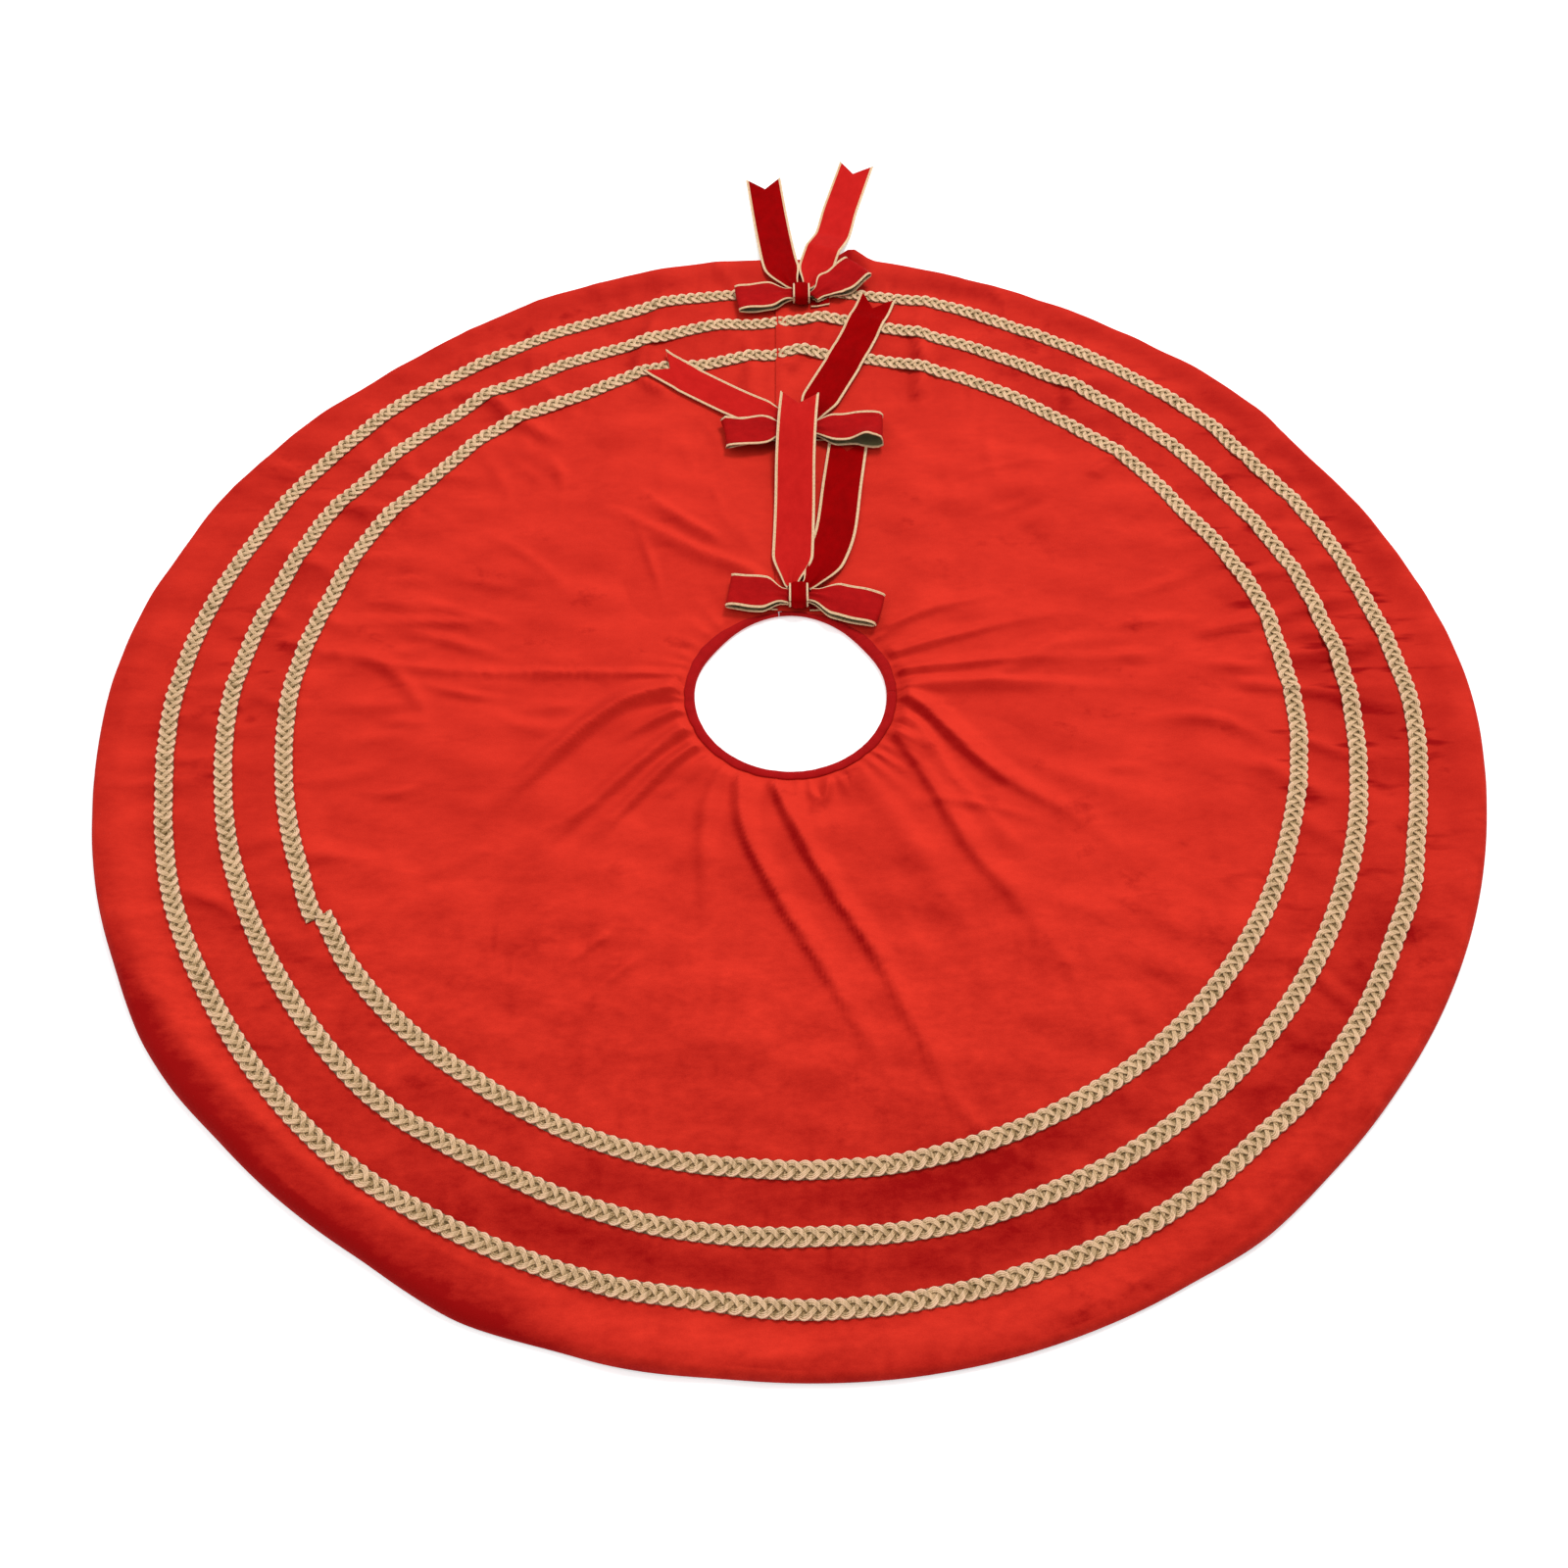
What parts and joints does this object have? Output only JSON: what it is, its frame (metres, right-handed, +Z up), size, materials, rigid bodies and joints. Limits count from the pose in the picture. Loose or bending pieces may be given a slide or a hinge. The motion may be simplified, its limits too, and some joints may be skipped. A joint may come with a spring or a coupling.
{
  "type": "tree skirt",
  "caption": "Round velvet tree skirt with a trunk hole, a back slit tied shut by ribbon bows, and rings of plaited braid near the rim.",
  "frame": {"origin": "middle of the bounding box at floor level, on the plane that the lining lies on; the trunk hole's centre is 88 mm towards -Y from it, because the hem bow's tails reach past the rim on the +Y side", "axes": "+Z up from the floor, +Y from the trunk hole towards the slit and its bows, +X to the right of the slit seen from the front"},
  "size_m": [1.22, 1.3954, 0.0243],
  "materials": {
    "velvet": "short red velvet pile, matt, brighter where it is brushed towards the eye",
    "lining": "thin dark red woven lining, matt",
    "binding": "dark red folded velvet strip",
    "braid": "pale gold plaited gimp cord with a soft sheen",
    "ribbon": "dark red velvet ribbon with thin gold wired edges and a dull gold back"
  },
  "bodies": {
    "skirt": {"hem_bow_left_root": "ribbon", "inner_braid_front": "braid", "inner_braid_left": "braid", "lining_main": "lining", "middle_bow_left_root": "ribbon", "middle_braid_main": "braid", "neck_binding_main": "binding", "neck_bow_left_root": "ribbon", "outer_braid_main": "braid", "velvet_main": "velvet"},
    "right_flap": {"hem_bow_knot": "ribbon", "hem_bow_right_root": "ribbon", "inner_braid_flap": "braid", "lining_flap": "lining", "middle_bow_knot": "ribbon", "middle_bow_left_tail_held": "ribbon", "middle_bow_right_root": "ribbon", "middle_bow_right_tail_held": "ribbon", "middle_braid_flap": "braid", "neck_binding_flap": "binding", "neck_bow_knot": "ribbon", "neck_bow_right_root": "ribbon", "outer_braid_flap": "braid", "velvet_flap": "velvet"},
    "neck_bow_left_loop": {"neck_bow_left_loop": "ribbon"},
    "neck_bow_left_tail": {"neck_bow_left_tail": "ribbon"},
    "neck_bow_right_loop": {"neck_bow_right_loop": "ribbon"},
    "neck_bow_right_tail": {"neck_bow_right_tail": "ribbon"},
    "middle_bow_left_loop": {"middle_bow_left_loop": "ribbon"},
    "middle_bow_left_tail": {"middle_bow_left_tail": "ribbon"},
    "middle_bow_right_loop": {"middle_bow_right_loop": "ribbon"},
    "middle_bow_right_tail": {"middle_bow_right_tail": "ribbon"},
    "hem_bow_left_loop": {"hem_bow_left_loop": "ribbon"},
    "hem_bow_left_tail": {"hem_bow_left_tail": "ribbon"},
    "hem_bow_right_loop": {"hem_bow_right_loop": "ribbon"},
    "hem_bow_right_tail": {"hem_bow_right_tail": "ribbon"}
  },
  "joints": [
    {"name": "right_flap_fold", "type": "hinge", "parent": "skirt", "child": "right_flap", "pos_m": [-0.00004, -0.08804, 0.0065], "axis": [1, 0, 0], "range_deg": [0, 150]},
    {"name": "neck_bow_left_loop_lift", "type": "hinge", "parent": "right_flap", "child": "neck_bow_left_loop", "pos_m": [-0.00601, 0.01996, 0.0125], "axis": [-0.1392, -0.9903, 0], "range_deg": [-50, 0]},
    {"name": "neck_bow_left_tail_lift", "type": "hinge", "parent": "right_flap", "child": "neck_bow_left_tail", "pos_m": [-0.00004, 0.03796, 0.012], "axis": [-0.9964, 0.0853, 0], "range_deg": [-100, 0]},
    {"name": "neck_bow_right_loop_lift", "type": "hinge", "parent": "right_flap", "child": "neck_bow_right_loop", "pos_m": [0.02289, 0.01996, 0.0125], "axis": [0.2756, 0.9613, 0], "range_deg": [-50, 0]},
    {"name": "neck_bow_right_tail_lift", "type": "hinge", "parent": "right_flap", "child": "neck_bow_right_tail", "pos_m": [0.01996, 0.03796, 0.0115], "axis": [-0.918, 0.3966, 0], "range_deg": [-75, 0]},
    {"name": "middle_bow_left_loop_lift", "type": "hinge", "parent": "right_flap", "child": "middle_bow_left_loop", "pos_m": [-0.00401, 0.24196, 0.0125], "axis": [0.1392, -0.9903, 0], "range_deg": [-15, 0]},
    {"name": "middle_bow_left_tail_lift", "type": "hinge", "parent": "right_flap", "child": "middle_bow_left_tail", "pos_m": [-0.02604, 0.26796, 0.0096], "axis": [-0.4414, -0.8973, 0], "range_deg": [-80, 0]},
    {"name": "middle_bow_right_loop_lift", "type": "hinge", "parent": "right_flap", "child": "middle_bow_right_loop", "pos_m": [0.02296, 0.24196, 0.0125], "axis": [0, 1, 0], "range_deg": [-15, 0]},
    {"name": "middle_bow_right_tail_lift", "type": "hinge", "parent": "right_flap", "child": "middle_bow_right_tail", "pos_m": [0.03726, 0.3023, 0.0087], "axis": [-0.9158, 0.4016, 0], "range_deg": [-75, 0]},
    {"name": "hem_bow_left_loop_lift", "type": "hinge", "parent": "right_flap", "child": "hem_bow_left_loop", "pos_m": [0.00011, 0.44796, 0.0125], "axis": [0.1219, -0.9925, 0], "range_deg": [-50, 0]},
    {"name": "hem_bow_left_tail_lift", "type": "hinge", "parent": "right_flap", "child": "hem_bow_left_tail", "pos_m": [0.00196, 0.46796, 0.012], "axis": [-0.9522, -0.3054, 0], "range_deg": [-100, 0]},
    {"name": "hem_bow_right_loop_lift", "type": "hinge", "parent": "right_flap", "child": "hem_bow_right_loop", "pos_m": [0.03155, 0.44796, 0.0125], "axis": [-0.6561, 0.7547, 0], "range_deg": [-20, 0]},
    {"name": "hem_bow_right_tail_lift", "type": "hinge", "parent": "right_flap", "child": "hem_bow_right_tail", "pos_m": [0.02396, 0.46796, 0.012], "axis": [-0.9771, 0.2129, 0], "range_deg": [-75, 0]}
  ]
}
